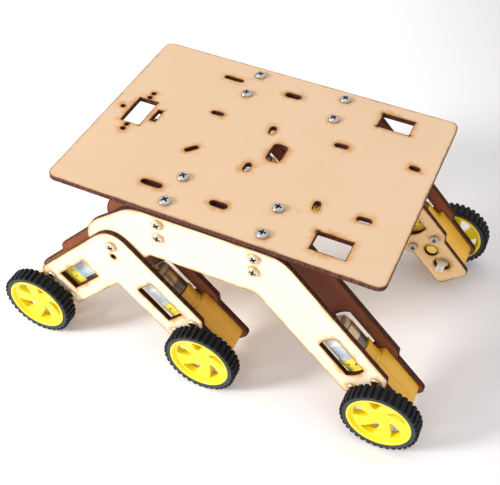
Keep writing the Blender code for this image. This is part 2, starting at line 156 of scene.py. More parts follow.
def board_face(name, base, deep, glow, scorch, rim_reach, hole_reach):
    """Fibreboard with char along the laser's cuts and at tight corners, and a toast that fades from it."""
    look = Look(name, base, 0.62, Specular_IOR_Level=0.3)
    edge, hole, corner = look.stored("edge_mm"), look.stored("hole_mm"), look.stored("corner_mm")
    smoke, fleck = look.noise(110, 4), look.noise(1300, 5)
    drift = look.fit(smoke, 0.3, 0.7, 0.6, 1.7)
    cloud = look.fit(look.noise(14, 4), 0.35, 0.65, 0.0, 1.0)
    colour = look.mix(look.calc("MULTIPLY", cloud, 0.35), base, deep)
    colour = look.mix(look.fit(fleck, 0.56, 0.75, 0.0, 0.25), colour, deep)
    patches = look.fit(look.noise(190, 4), 0.45, 0.68)
    smudge = look.calc("MULTIPLY", look.fit(hole, 0.4, 6.5, 1.0, 0.0), patches)
    colour = look.mix(look.calc("MULTIPLY", smudge, 0.75), colour, glow)
    for distance, reach, strength in ((edge, rim_reach, 0.7), (hole, hole_reach, 0.85)):
        far = look.calc("MULTIPLY", distance, drift)
        halo = look.calc("POWER", look.fit(far, 0.0, reach, 1.0, 0.0), 1.3)
        colour = look.mix(look.calc("MULTIPLY", halo, strength), colour, glow)
        char = look.fit(far, 0.20, 0.85, strength, 0.0)
        colour = look.mix(char, colour, scorch)
    burn = look.fit(look.calc("MULTIPLY", corner, drift), 0.6, 1.9, 0.9, 0.0)
    colour = look.mix(burn, colour, scorch)
    look.set("Base Color", colour)
    look.set("Roughness", look.fit(fleck, 0.3, 0.7, 0.55, 0.75))
    look.bump(look.calc("ADD", fleck, look.noise(260, 3)), 0.00004, 0.5)
    return look.mat


def board_edge(name, dark, brown, across):
    """A laser-cut edge: charred, with faint lines through the sheet, and blackest inside the holes as painted
    shade.
    """
    look = Look(name, dark, 0.8, Specular_IOR_Level=0.12)
    stretch = tuple(0.12 if k == across else 1.0 for k in range(3))
    lines = look.noise(1500, 3, stretch)
    colour = look.mix(look.fit(lines, 0.38, 0.68), dark, brown)
    # A darker tone for the walls of the holes: painted shade, where light reaches less into them.
    hole_painted_shade = (0.8 * dark[0], 0.3 * dark[1], 0.35 * dark[2])
    in_hole = look.fit(look.stored("hole_mm"), 0.1, 0.6, 0.68, 0.0)
    look.set("Base Color", look.mix(in_hole, colour, hole_painted_shade))
    look.bump(lines, 0.00006, 0.6)
    return look.mat


def moulding(name, colour, shade, roughness, **sockets):
    """Injection-moulded plastic with a faint grain and slight changes of depth in its colour."""
    look = Look(name, colour, roughness, **sockets)
    cloud, fine = look.noise(45, 3), look.noise(900, 2)
    look.set("Base Color", look.mix(look.fit(cloud, 0.3, 0.7, 0.0, 0.45), colour, shade))
    look.set("Roughness", look.fit(look.noise(120, 4), 0.3, 0.7, roughness - 0.06, roughness + 0.1))
    look.bump(fine, 0.00002, 0.35)
    return look.mat


def rubber(name, dark, dusty, rough):
    """Black rubber with a trace of dust."""
    look = Look(name, dark, rough, Specular_IOR_Level=0.22)
    dust, fine = look.noise(150, 5), look.noise(1800, 3)
    look.set("Base Color", look.mix(look.fit(dust, 0.42, 0.75, 0.0, 0.6), dark, dusty))
    look.set("Roughness", look.fit(dust, 0.3, 0.7, rough - 0.1, rough + 0.14))
    look.bump(fine, 0.00005, 0.5)
    return look.mat


def metal(name, colour, dull, roughness):
    """Bare or plated metal with a fine grain and a little tarnish."""
    look = Look(name, colour, roughness, 1.0)
    grain, stain = look.noise(600, 3), look.noise(180, 4)
    look.set("Base Color", look.mix(look.fit(stain, 0.45, 0.75, 0.0, 0.7), colour, dull))
    look.set("Roughness", look.fit(grain, 0.3, 0.7, roughness - 0.08, roughness + 0.12))
    look.bump(grain, 0.00002, 0.4)
    return look.mat


def can_metal(name, colour, reflected_tan, dull):
    """Drawn steel with painted reflections: darker next to the gearbox and tan towards the can's end."""
    look = Look(name, colour, 0.36, 0.9)
    along = look.node("ShaderNodeSeparateXYZ", {"Vector": look.coords}).outputs["X"]
    stain = look.fit(look.noise(180, 4), 0.45, 0.75, 0.0, 0.6)
    # The tan towards the can's end is a painted reflection, not a change in the metal.
    colour = look.mix(look.fit(along, 0.0440, 0.0452), colour, reflected_tan)
    look.set("Base Color", look.mix(stain, colour, dull))
    look.set("Roughness", look.fit(look.noise(500, 3, (0.1, 1, 1)), 0.3, 0.7, 0.28, 0.46))
    return look.mat


def clear_plastic(name):
    """The milky plastic of the motor's strap: bluish over the can, and white where it turns over the end, as
    a painted highlight.
    """
    look = Look(name, (0.52, 0.62, 0.65), 0.25, IOR=1.46, Transmission_Weight=0.15, Coat_Weight=0.5)
    along = look.node("ShaderNodeSeparateXYZ", {"Vector": look.coords}).outputs["X"]
    cloud = look.fit(look.noise(140, 3), 0.35, 0.65)
    blue = look.mix(cloud, (0.46, 0.56, 0.60), (0.62, 0.70, 0.73))
    # The white past the can's end is a painted highlight.
    look.set("Base Color", look.mix(look.fit(along, 0.0475, 0.0490), blue, (0.93, 0.93, 0.91)))
    look.set("Roughness", look.fit(look.noise(300, 3), 0.3, 0.7, 0.15, 0.35))
    return look.mat


DECK_FACE = board_face("deck_face", (0.640, 0.445, 0.285), (0.58, 0.39, 0.23), (0.50, 0.235, 0.065),
                       (0.040, 0.014, 0.008), 2.4, 4.6)
# TAN_FACE is a lighter copy of the deck's board, painted light for the well-lit inboard faces of the inner
# plates; the deck's underside takes it too.
TAN_FACE = board_face("tan_face", (0.90, 0.64, 0.34), (0.80, 0.54, 0.27), (0.56, 0.26, 0.07),
                      (0.045, 0.016, 0.008), 2.0, 3.0)
# SIDE_FACE is a paler, cream copy of the same board, painted light for the brightly lit outboard faces of the
# outer plates.
SIDE_FACE = board_face("side_face", (0.87, 0.77, 0.57), (0.82, 0.68, 0.46), (0.66, 0.31, 0.08),
                       (0.055, 0.020, 0.009), 3.6, 3.4)
# The same board darkened as painted shade, for the faces that look inwards between the two plates of each
# sandwich.
BOARD_PAINTED_SHADE = board_face("board_painted_shade", (0.29, 0.094, 0.048), (0.20, 0.062, 0.034), (0.12, 0.04, 0.025),
                         (0.035, 0.012, 0.008), 2.5, 3.0)
DECK_EDGE = board_edge("deck_edge", (0.050, 0.019, 0.014), (0.16, 0.065, 0.050), 2)
SIDE_EDGE = board_edge("side_edge", (0.030, 0.010, 0.006), (0.105, 0.034, 0.018), 1)
# One yellow moulding in two copies: the ochre darker and more orange as painted shade, the lemon brighter as
# painted light where direct light falls.
OCHRE = moulding("gearbox_moulding", (0.82, 0.44, 0.028), (0.74, 0.37, 0.022), 0.40, Coat_Weight=0.1)
LEMON = moulding("collar_moulding", (0.98, 0.80, 0.09), (0.94, 0.72, 0.07), 0.36, Coat_Weight=0.2)
YELLOW = moulding("rim_moulding", (0.95, 0.76, 0.012), (0.90, 0.68, 0.01), 0.28, Coat_Weight=0.35)
WHITE = moulding("white_nylon", (0.86, 0.86, 0.83), (0.78, 0.78, 0.74), 0.38)
TAN_CAP = moulding("end_cap_moulding", (0.50, 0.42, 0.27), (0.40, 0.34, 0.22), 0.42)
RUBBER = rubber("tyre_rubber", (0.005, 0.006, 0.007), (0.014, 0.016, 0.018), 0.60)
# The sidewall is the tread's black rubber painted lighter and bluer, as a painted sheen.
SIDEWALL = rubber("tyre_sidewall", (0.034, 0.044, 0.050), (0.075, 0.088, 0.096), 0.50)
# The can's dark base and its tan are painted reflections; the last colour is tarnish.
CAN = can_metal("can_plate", (0.20, 0.175, 0.15), (0.70, 0.53, 0.31), (0.16, 0.13, 0.09))
STEEL = metal("bright_screw", (0.53, 0.52, 0.50), (0.27, 0.24, 0.20), 0.18)
# Cream steel for the screws on the side plates: a painted reflection of the cream boards around them.
CREAM_REFLECTING_STEEL = metal("screw_painted_reflection", (0.68, 0.58, 0.43), (0.36, 0.25, 0.15), 0.26)
# Dark metal as painted shade inside the cross recesses; the screws' shank ends take it too.
RECESS = metal("screw_recess", (0.10, 0.09, 0.08), (0.05, 0.04, 0.035), 0.45)
DARK_PIP = moulding("dark_pip", (0.16, 0.11, 0.03), (0.10, 0.07, 0.02), 0.5)
ZINC = metal("zinc_plate", (0.66, 0.66, 0.64), (0.46, 0.45, 0.42), 0.38)
BRASS = metal("terminal_brass", (0.72, 0.46, 0.18), (0.36, 0.22, 0.10), 0.30)
CLEAR = clear_plastic("clear_strap")


# ---------------------------------------------------------------- mesh helpers, in millimetres
def mesh_of(name, bm, mats, sharp=32):
    """Finishes a mesh drawn in millimetres, ready to be shared by several pieces."""
    bmesh.ops.remove_doubles(bm, verts=bm.verts, dist=1e-5)
    bmesh.ops.recalc_face_normals(bm, faces=bm.faces)
    bmesh.ops.scale(bm, vec=(MM, MM, MM), verts=bm.verts)
    mesh = bpy.data.meshes.new(name)
    bm.to_mesh(mesh)
    bm.free()
    mesh.shade_smooth()
    mesh.set_sharp_from_angle(angle=math.radians(sharp))
    for mat in mats:
        mesh.materials.append(mat)
    return mesh


def place(name, mesh, matrix, body, stands_for=(), bevel=0.0):
    """Puts a piece in the frame, riding on a CAD body."""
    ob = bpy.data.objects.new(name, mesh)
    bpy.context.scene.collection.objects.link(ob)
    ob.matrix_world = matrix
    if bevel:
        add_bevel(ob, bevel)
    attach(ob, body)
    if stands_for:
        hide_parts(*stands_for)
    return ob


def add_bevel(ob, width):
    mod = ob.modifiers.new("edge", "BEVEL")
    mod.width, mod.segments = width * MM, 2
    mod.limit_method, mod.angle_limit = "ANGLE", math.radians(40)


def ring(r, z, n):
    return [(r * math.cos(math.tau * k / n), r * math.sin(math.tau * k / n), z) for k in range(n)]


def loft(bm, rings, closed=False, material=0):
    """Joins rings of equal length; a ring of one point is a pole. Closed joins the last to the first."""
    loops = [[bm.verts.new(p) for p in pts] for pts in rings]
    pairs = list(zip(loops, loops[1:])) + ([(loops[-1], loops[0])] if closed else [])
    for lo, hi in pairs:
        count = max(len(lo), len(hi))
        for k in range(count):
            corners = [lo[k - 1], lo[k]] if len(lo) > 1 else [lo[0]]
            corners += [hi[k], hi[k - 1]] if len(hi) > 1 else [hi[0]]
            bm.faces.new(corners).material_index = material
    return loops


def cap(bm, loop, material=0):
    bm.faces.new(loop).material_index = material


def lathe(bm, profile, n, closed=False):
    """Turns (radius, height) points about Z; a zero radius is a pole."""
    return loft(bm, [[(0, 0, z)] if r == 0 else ring(r, z, n) for r, z in profile], closed)


def aim(point, direction, spin):
    """A frame at point whose Z looks along direction, turned by spin about it."""
    turn = Vector(direction).to_track_quat("Z", "Y").to_matrix().to_4x4()
    return Matrix.Translation(point) @ turn @ Matrix.Rotation(spin, 4, "Z")


def basis(origin, x, y, z):
    m = Matrix((x, y, z)).transposed().to_4x4()
    m.translation = origin
    return m


def smooth_path(points, steps, closed=False):
    """A Catmull-Rom line through the points, with this many steps from one to the next."""
    pts = [Vector(p) for p in points]
    n = len(pts)
    out = []
    for k in range(n if closed else n - 1):
        if closed:
            a, b, c, d = (pts[(k + j) % n] for j in (-1, 0, 1, 2))
        else:
            a, b, c, d = pts[max(k - 1, 0)], pts[k], pts[k + 1], pts[min(k + 2, n - 1)]
        for j in range(steps):
            t = j / steps
            out.append(0.5 * (2 * b + (c - a) * t + (2 * a - 5 * b + 4 * c - d) * t * t
                              + (3 * b - a - 3 * c + d) * t ** 3))
    if not closed:
        out.append(pts[-1])
    return out


def gaps(points, ends):
    """Each point's distance to its nearest segment; ends is (starts, finishes)."""
    a, b = ends
    along = b - a
    rel = points[:, None] - a[None]
    t = np.clip((rel * along).sum(2) / np.maximum((along ** 2).sum(1), 1e-12), 0, 1)
    return np.sqrt(((rel - t[..., None] * along) ** 2).sum(2)).min(1)


def inside(points, ends):
    """True for each point that an odd number of segments lies to the right of."""
    a, b = ends
    x, y = points[:, :1], points[:, 1:]
    spans = (a[:, 1] > y) != (b[:, 1] > y)
    rise = np.where(np.abs(b[:, 1] - a[:, 1]) < 1e-12, 1e-12, b[:, 1] - a[:, 1])
    cross = a[:, 0] + (y - a[:, 1]) * (b[:, 0] - a[:, 0]) / rise
    return ((spans & (x < cross)).sum(1) % 2).astype(bool)


def fill(starts, finishes, extra):
    """Triangles inside closed loops of segments, using the extra points. Returns points and faces."""
    ends = (starts, finishes)
    verts = [Vector(p) for p in np.concatenate((starts, finishes, extra))]
    count = len(starts)
    made = delaunay_2d_cdt(verts, [(k, k + count) for k in range(count)], [], 0, 1e-4)
    pts = np.array([tuple(v) for v in made[0]])
    tris = np.array([f for f in made[2]])
    kept = tris[inside(pts[tris].mean(1), ends)]
    used = np.unique(kept)
    remap = np.zeros(len(pts), int)
    remap[used] = np.arange(len(used))
    return pts[used], remap[kept]


# ---------------------------------------------------------------- fibreboard plates
RINGS = ((0.45, 0.9), (1.0, 1.3), (1.8, 2.0), (3.0, 2.8), (4.6, 3.8))   # distance in, spacing
GRID = 5.5


def cut_edges(node, p, q):
    """A plate's cut outline as segments in its own plane, and the depths of its two faces."""
    n = p.cross(q)
    bm = bmesh.new()
    bm.from_mesh(frame["nodes"][node].data)
    bmesh.ops.remove_doubles(bm, verts=bm.verts, dist=1e-6)
    bm.normal_update()
    face = {f for f in bm.faces if f.normal.dot(n) > 0.99}
    starts, finishes = [], []
    for f in face:
        for loop in f.loops:
            if sum(g in face for g in loop.edge.link_faces) == 1:
                for bucket, v in ((starts, loop.vert), (finishes, loop.link_loop_next.vert)):
                    bucket.append((v.co.dot(p) / MM, v.co.dot(q) / MM))
    depths = [v.co.dot(n) / MM for v in bm.verts]
    bm.free()
    return np.array(starts), np.array(finishes), max(depths), min(depths)


def loops_of(starts, finishes):
    """The cut edges as closed loops of points in order; the one that reaches furthest out comes first."""
    chain = {tuple(s.round(3)): k for k, s in enumerate(starts)}
    left, loops = set(range(len(starts))), []
    while left:
        k = min(left, key=lambda j: starts[j, 0])
        loop = []
        while k in left:
            left.remove(k)
            loop.append(starts[k])
            k = chain[tuple(finishes[k].round(3))]
        loops.append(np.array(loop))
    return loops


def softened(loop):
    """Cuts each slight corner of a loop in two, so that its arcs read as curves; sharp corners stay."""
    before, after = loop - np.roll(loop, 1, 0), np.roll(loop, -1, 0) - loop
    reach = np.minimum(np.hypot(*before.T), np.hypot(*after.T)) / 4
    out = []
    for point, a, b, r in zip(loop, before, after, reach):
        a, b = a / np.hypot(*a), b / np.hypot(*b)
        if a @ b > 0.64 and r > 0.07:
            out += [point - a * r, point + b * r]
        else:
            out.append(point)
    return np.array(out)


def tight_corners(loops):
    """The middles of the windows' tight corners, where the laser lingers."""
    found = [np.full((1, 2), 1000.0)]
    for loop in loops[1:]:
        size = np.hypot(*(np.roll(loop, -1, 0) - loop).T)
        found.append(loop[(size < 0.5) & (np.roll(size, 1) < 0.5)])
    return np.concatenate(found)


def scatter(starts, finishes):
    """Points in rows beside the cut edges, closer together near them, and a wide grid between."""
    along = finishes - starts
    length = np.linalg.norm(along, axis=1)
    inward = np.stack((-along[:, 1], along[:, 0]), 1) / length[:, None]
    ends, kept = (starts, finishes), []
    for reach, spacing in RINGS:
        row, seen = [], set()
        for s, d, size, normal in zip(starts, along, length, inward):
            steps = max(1, round(size / spacing))
            for k in range(steps):
                point = s + d * (k + 0.5) / steps + normal * reach
                key = tuple((point / (0.55 * spacing)).round().astype(int))
                if key not in seen:
                    seen.add(key)
                    row.append(point)
        row = np.array(row)
        clear = inside(row, ends) & (gaps(row, ends) > 0.9 * reach)
        kept.append(row[clear])
    across, up = (np.arange(low, high, GRID) for low, high in zip(starts.min(0), starts.max(0)))
    grid = np.array([(x, y) for x in across for y in up])
    kept.append(grid[inside(grid, ends) & (gaps(grid, ends) > RINGS[-1][0] + 0.5 * GRID)])
    return np.concatenate(kept)


def board(name, node, p, q, mats, body):
    """Stands for a CAD plate; mats are its upper or right face, its other face and its cut edges."""
    starts, finishes, high, low = cut_edges(node, p, q)
    loops = loops_of(starts, finishes)
    corners = tight_corners(loops)
    loops = [softened(softened(loop)) for loop in loops]
    starts = np.concatenate(loops)
    finishes = np.concatenate([np.roll(loop, -1, 0) for loop in loops])
    pts, tris = fill(starts, finishes, scatter(starts, finishes))
    hole = np.arange(len(starts)) >= len(loops[0])
    stored = {"edge_mm": gaps(pts, (starts, finishes)),
              "hole_mm": gaps(pts, (starts[hole], finishes[hole])),
              "corner_mm": np.hypot(*(pts[:, None] - corners[None]).transpose(2, 0, 1)).min(1)}
    n, count = p.cross(q), len(pts)
    verts = [(p * x + q * y + n * depth) * MM for depth in (high, low) for x, y in pts]
    sides = {(i, j) for t in tris for i, j in ((t[0], t[1]), (t[1], t[2]), (t[2], t[0]))}
    walls = [(j, i, i + count, j + count) for i, j in sorted(sides) if (j, i) not in sides]
    faces = [tuple(t) for t in tris] + [tuple(t[::-1] + count) for t in tris] + walls
    mesh = bpy.data.meshes.new(name)
    mesh.from_pydata(verts, [], faces)
    for key, values in stored.items():
        attribute = mesh.attributes.new(key, "FLOAT", "POINT")
        attribute.data.foreach_set("value", np.tile(values, 2).astype(np.float32))
    for mat in mats:
        mesh.materials.append(mat)
    index = [0] * len(tris) + [1] * len(tris) + [2] * len(walls)
    mesh.polygons.foreach_set("material_index", index)
    mesh.shade_smooth()
    mesh.set_sharp_from_angle(angle=math.radians(30))
    mesh.update()
    place(name, mesh, Matrix(), body, (node,), 0.14)


def build_boards():
    mats = (DECK_FACE, TAN_FACE, DECK_EDGE)
    board("deck_board", "deck_plate", DECK_ALONG, Y, mats, "chassis")
    # Faces between the two plates of a sandwich take the painted shade; the other faces take the lighter
    # copies of the board, painted light.
    out_and_in = {"inner": (BOARD_PAINTED_SHADE, TAN_FACE), "outer": (SIDE_FACE, BOARD_PAINTED_SHADE)}
    for word, side in SIDES:
        for where, faces in out_and_in.items():
            mats = (*faces[::-side], SIDE_EDGE)
            for part, body in (("rocker", "chassis"), ("bogie", f"bogie_{word}")):
                name, node = f"{part}_board_{where}_{word}", f"{part}_{where}_plate_{word}"
                board(name, node, X, Z, mats, body)


# ---------------------------------------------------------------- screws and nuts
def cross_cutter(size):
    """A tapered cross, as the recess of a cross-head screw, from (height, arm, half width) levels."""
    bm = bmesh.new()
    loops = []
    for z, arm, half in ((-1.6, 0.8, 0.28), (0.3, 2.25 * size, 0.56 * size)):
        pts = []
        for k in range(4):
            t = math.pi / 2 * k
            for x, y in ((half, -half), (arm, -half), (arm, half)):
                pts.append((x * math.cos(t) - y * math.sin(t), x * math.sin(t) + y * math.cos(t), z))
        loops.append(pts)
    made = loft(bm, loops, material=1)
    cap(bm, made[0], 1)
    cap(bm, made[1], 1)
    return bm


def thread(radius, top, bottom):
    """The (radius, height) zigzag of a thread, from top down to bottom."""
    points, z, pitch = [], top, 0.5
    while z - pitch > bottom:
        points += [(radius, z), (radius - 0.28, z - pitch / 2)]
        z -= pitch
    return points


def screw_mesh(name, head_r, head_h, shank_r, length, plain, steel=STEEL):
    """A pan-head screw: its head sits on Z = 0, its threaded shank goes down to a dark end."""
    bm = bmesh.new()
    profile = [(0, head_h)]
    for k in range(1, 9):
        t = math.radians(90 * k / 8)
        profile.append((head_r * math.sin(t), head_h * (0.42 + 0.58 * max(0.0, math.cos(t)) ** 0.75)))
    profile += [(head_r, 0.12 * head_h), (head_r - 0.15, 0), (shank_r, 0), (shank_r, -plain)]
    profile += thread(shank_r, -plain - 0.1, -length + 0.5)
    profile += [(shank_r - 0.15, -length + 0.3), (shank_r - 0.5, -length), (0, -length)]
    lathe(bm, profile, 28)
    for face in bm.faces:
        face.material_index = int(face.calc_center_median().z < 0.2 - length)
    mesh = mesh_of(name, bm, [steel, RECESS], 28)
    return carved(mesh, cross_cutter(head_r / 2.9), head_h)


def carved(mesh, cutter_bm, height):
    """The mesh with the cutter taken out of its top."""
    cutter_mesh = mesh_of("recess", cutter_bm, [STEEL, RECESS])
    body, cutter = bpy.data.objects.new("carve", mesh), bpy.data.objects.new("recess", cutter_mesh)
    for ob in (body, cutter):
        bpy.context.scene.collection.objects.link(ob)
    cutter.location.z = height * MM
    mod = body.modifiers.new("recess", "BOOLEAN")
    mod.operation, mod.object, mod.solver = "DIFFERENCE", cutter, "EXACT"
    graph = bpy.context.evaluated_depsgraph_get()
    made = bpy.data.meshes.new_from_object(body.evaluated_get(graph))
    for ob in (body, cutter):
        bpy.data.objects.remove(ob)
    made.name = mesh.name
    made.shade_smooth()
    made.set_sharp_from_angle(angle=math.radians(28))
    return made


def nut_mesh(name, across, height, bore):
    """A hexagon nut with turned-down corners; its seat is Z = 0 and it goes up."""
    n, flat = 48, across / 2
    bm = bmesh.new()

    def hexagon(z, limit):
        pts = []
        for k in range(n):
            t = math.tau * k / n
            r = min(flat / math.cos((t % (math.pi / 3)) - math.pi / 6), limit)
            pts.append((r * math.cos(t), r * math.sin(t), z))
        return pts

    corner = flat * 1.2
    rings = [ring(bore, 0.2, n), ring(bore + 0.2, 0, n), hexagon(0, flat), hexagon(0.35, corner),
             hexagon(height - 0.4, corner), hexagon(height, flat), ring(bore + 0.2, height, n),
             ring(bore, height - 0.2, n)]
    loft(bm, rings, closed=True)
    return mesh_of(name, bm, [STEEL], 30)


DECK_SCREW = screw_mesh("deck_screw", 3.5, DECK_HEAD + SEAT, 1.4, 8.5, 1.0)
SIDE_SCREW = screw_mesh("side_screw", 3.2, 2.0, 1.4, 7.5, 1.0, CREAM_REFLECTING_STEEL)
MOTOR_BOLT = screw_mesh("motor_bolt", 2.7, 1.7, 1.4, 28.4, 20.0, CREAM_REFLECTING_STEEL)
PIVOT_BOLT = screw_mesh("pivot_bolt", 3.0, PIVOT_HEAD, 1.5, 32.0, 20.0, CREAM_REFLECTING_STEEL)
NUT = nut_mesh("nut", 5.5, 2.2, 1.3)


def tip(node, direction):
    """The middle of the end of a CAD node that lies furthest along direction."""
    co = [v.co.copy() for v in frame["nodes"][node].data.vertices]
    top = max(v.dot(direction) for v in co)
    end = [v for v in co if v.dot(direction) > top - 1e-5]
    return sum(end, Vector()) / len(end)


def build_deck_screws():
    spin = 0.0
    for word, side in SIDES:
        for where in ("inner", "outer"):
            for end in ("front", "rear"):
                node = f"deck_screw_{where}_{end}_{word}"
                seat = tip(node, DECK_UP) - DECK_UP * DECK_HEAD * MM
                under = seat - DECK_UP * (PLATE + BRACKET) * MM
                spin += 0.9
                screw, nut = aim(seat, DECK_UP, spin), aim(under, -DECK_UP, spin)
                place(f"pan_{node}", DECK_SCREW, screw, "chassis", (node,))
                place(f"nut_{node}", NUT, nut, "chassis")
                build_side_screws(where, end, word, side, seat)


def build_side_screws(where, end, word, side, seat):
    """Two screws hold each bracket to its plate; their heads are outboard."""
    low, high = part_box(f"rocker_{where}_plate_{word}")
    face = high.y if side > 0 else low.y
    for depth, level in zip(SCREW_DEPTHS, ("upper", "lower")):
        at = seat - DECK_UP * depth * MM
        spin = depth * 0.7 + side
        name = f"{where}_{end}_{level}_{word}"
        at.y = face + side * SEAT * MM
        place(f"side_screw_{name}", SIDE_SCREW, aim(at, side * Y, spin), "chassis")
        at.y = face - side * (PLATE + BRACKET) * MM
        place(f"side_nut_{name}", NUT, aim(at, -side * Y, spin), "chassis")


def build_pivots():
    for word, side in SIDES:
        bolt, nut = f"bogie_pivot_bolt_{word}", f"bogie_pivot_nut_{word}"
        head = tip(bolt, side * Y) - side * Y * PIVOT_HEAD * MM
        place(f"pan_{bolt}", PIVOT_BOLT, aim(head, side * Y, 0.5), "chassis", (bolt,))
        low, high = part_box(nut)
        seat = (low + high) / 2
        seat.y = high.y if side > 0 else low.y
        place(f"hex_{nut}", NUT, aim(seat, -side * Y, 0.3), "chassis", (nut,))


def build_brackets():
    for name, ob in frame["nodes"].items():
        if name.startswith("deck_bracket"):
            ob.data.materials.clear()
            ob.data.materials.append(ZINC)
            add_bevel(ob, 0.25)


# ---------------------------------------------------------------- motors
def nose_outline(inset):
    """The gearbox's side outline, drawn in by inset."""
    pts, n = [], 8
    left, right, half = NOSE_U + inset, BACK_U - inset, HALF_N - inset
    for cu, cn, r, start in ((left, -half, NOSE_R, 180), (right, -half, 1.2, 270),
                             (right, half, 1.2, 0), (left, half, NOSE_R, 90)):
        u0 = cu + r if cu == left else cu - r
        n0 = cn + r if cn < 0 else cn - r
        for k in range(n + 1):
            t = math.radians(start + 90 * k / n)
            pts.append((u0 + r * math.cos(t), n0 + r * math.sin(t)))
    return pts


def gearbox_mesh():
    """Two moulded halves with a seam between them, and a locating boss and shaft collar on each side."""
    bm = bmesh.new()
    seam, groove = 1.6, 0.09
    steps = [(-HALF_V, 0.45), (-HALF_V + 0.15, 0.14), (-HALF_V + 0.5, 0.0), (seam - groove, 0.0),
             (seam - groove, 0.16), (seam + groove, 0.16), (seam + groove, 0.0), (HALF_V - 0.5, 0.0),
             (HALF_V - 0.15, 0.14), (HALF_V, 0.45)]
    loops = loft(bm, [[(u, n, v) for u, n in nose_outline(inset)] for v, inset in steps])
    cap(bm, loops[0])
    cap(bm, loops[-1])
    for side in (1, -1):
        # The bosses and shaft collars take the lemon copy, as painted light.
        for cu, outer, inner, height in ((BOSS_U, 3.9, 0.0, 2.0), (0.0, 4.3, 2.95, 1.6)):
            base, top = side * (HALF_V - 0.3), side * (HALF_V + height)
            rim = [(outer, base), (outer, top - side * 0.3), (outer - 0.3, top)]
            if inner:
                rim += [(inner + 0.2, top), (inner, top - side * 0.2), (inner, base)]
            else:
                rim = [(0, base)] + rim + [(0, top)]
            turned = [[(cu, 0, z)] if r == 0 else [(cu + x, y, z) for x, y, _ in ring(r, 0, 32)]
                      for r, z in rim]
            loft(bm, turned, bool(inner), 1)
    return mesh_of("gearbox_shell", bm, [OCHRE, LEMON])


def flatted(r, flat, n):
    """A circle with its top and bottom cut flat."""
    turns = (math.tau * k / n for k in range(n))
    return [(r * math.cos(t), max(-flat, min(flat, r * math.sin(t)))) for t in turns]


def shell_rings(bm, steps, n=64):
    """A closed flat-sided body along the motor, from (place, radius, half its height) steps."""
    loops = loft(bm, [[(u, x, y) for x, y in flatted(r, flat, n)] for u, r, flat in steps])
    cap(bm, loops[0])
    cap(bm, loops[-1])


def collar_mesh():
    """The moulding's flat-sided neck, with two small dark blocks on each flat."""
    bm = bmesh.new()
    r, flat, waist, start, end = COLLAR_R, COLLAR_FLAT, COLLAR_R - 0.35, BACK_U, COLLAR_U
    shell_rings(bm, [(start - 0.3, r, flat), (start + 2.2, r, flat), (start + 2.5, waist, flat - 0.3),
                     (end - 3.6, waist, flat - 0.3), (end - 3.3, r, flat), (end - 0.3, r, flat),
                     (end, r - 0.3, flat - 0.3)])
    for face in bm.faces:
        # The flats take the lemon copy as painted light, the rounded sides the ochre copy as painted shade.
        face.material_index = 0 if abs(face.calc_center_median().z) > COLLAR_FLAT - 0.5 else 2
    for side in (1, -1):
        low, high = side * (COLLAR_FLAT - 0.5), side * (COLLAR_FLAT + 0.35)
        for u0, n0 in ((32.2, -1.4), (33.4, 3.4)):
            corners = ((-0.5, -0.35), (0.5, -0.35), (0.5, 0.35), (-0.5, 0.35))
            loops = loft(bm, [[(u0 + u, n0 + n, z) for u, n in corners] for z in (low, high)], material=1)
            cap(bm, loops[0], 1)
            cap(bm, loops[1], 1)
    return mesh_of("gearbox_collar", bm, [LEMON, DARK_PIP, OCHRE])


def can_mesh():
    bm = bmesh.new()
    r, flat, start, end = CAN_R, CAN_FLAT, COLLAR_U + 0.3, CAN_U
    shell_rings(bm, [(start, r - 0.5, flat - 0.4), (start + 0.5, r, flat), (end - 0.9, r, flat),
                     (end - 0.3, r - 0.25, flat - 0.2), (end, r - 0.8, flat - 0.7)])
    return mesh_of("motor_can", bm, [CAN])


def end_cap_mesh():
    """The motor's plastic back, with a bearing boss."""
    bm = bmesh.new()
    shell_rings(bm, [(CAN_U + 0.02, 8.9, 6.4), (CAN_U + 0.6, 9.2, 6.8), (CAP_U - 0.5, 9.0, 6.6),
                     (CAP_U, 8.4, 6.1)])
    boss = [(-0.2, 3.0), (1.5, 3.0), (1.8, 2.7), (1.8, 1.2), (0.9, 1.0)]
    shell_rings(bm, [(CAP_U + u, r, r) for u, r in boss], 32)
    return mesh_of("motor_end_cap", bm, [TAN_CAP])


def terminal_mesh():
    """A brass tab with an eye, bent from the end cap."""
    bm = bmesh.new()
    outline = [(CAP_U - 0.6, -1.1), (CAP_U + 2.2, -1.1), (CAP_U + 3.0, -0.6), (CAP_U + 3.0, 0.6),
               (CAP_U + 2.2, 1.1), (CAP_U - 0.6, 1.1)]
    eye = [(CAP_U + 1.6 + x, y) for x, y, _ in ring(0.5, 0, 12)]
    starts = np.array(outline + eye)
    finishes = np.array(outline[1:] + outline[:1] + eye[1:] + eye[:1])
    pts, tris = fill(starts, finishes, np.zeros((0, 2)))
    slab(bm, pts, tris, lambda u, w: (u, w, -0.2), lambda u, w: (u, w, 0.2))
    return mesh_of("terminal", bm, [BRASS])


def slab(bm, pts, tris, near, far):
    """Two copies of a filled outline, walled round."""
    a = [bm.verts.new(near(*p)) for p in pts]
    b = [bm.verts.new(far(*p)) for p in pts]
    sides = set()
    for t in tris:
        bm.faces.new([a[k] for k in t])
        bm.faces.new([b[k] for k in reversed(t)])
        sides |= {(t[0], t[1]), (t[1], t[2]), (t[2], t[0])}
    for i, j in sides:
        if (j, i) not in sides:
            bm.faces.new((a[j], a[i], b[i], b[j]))


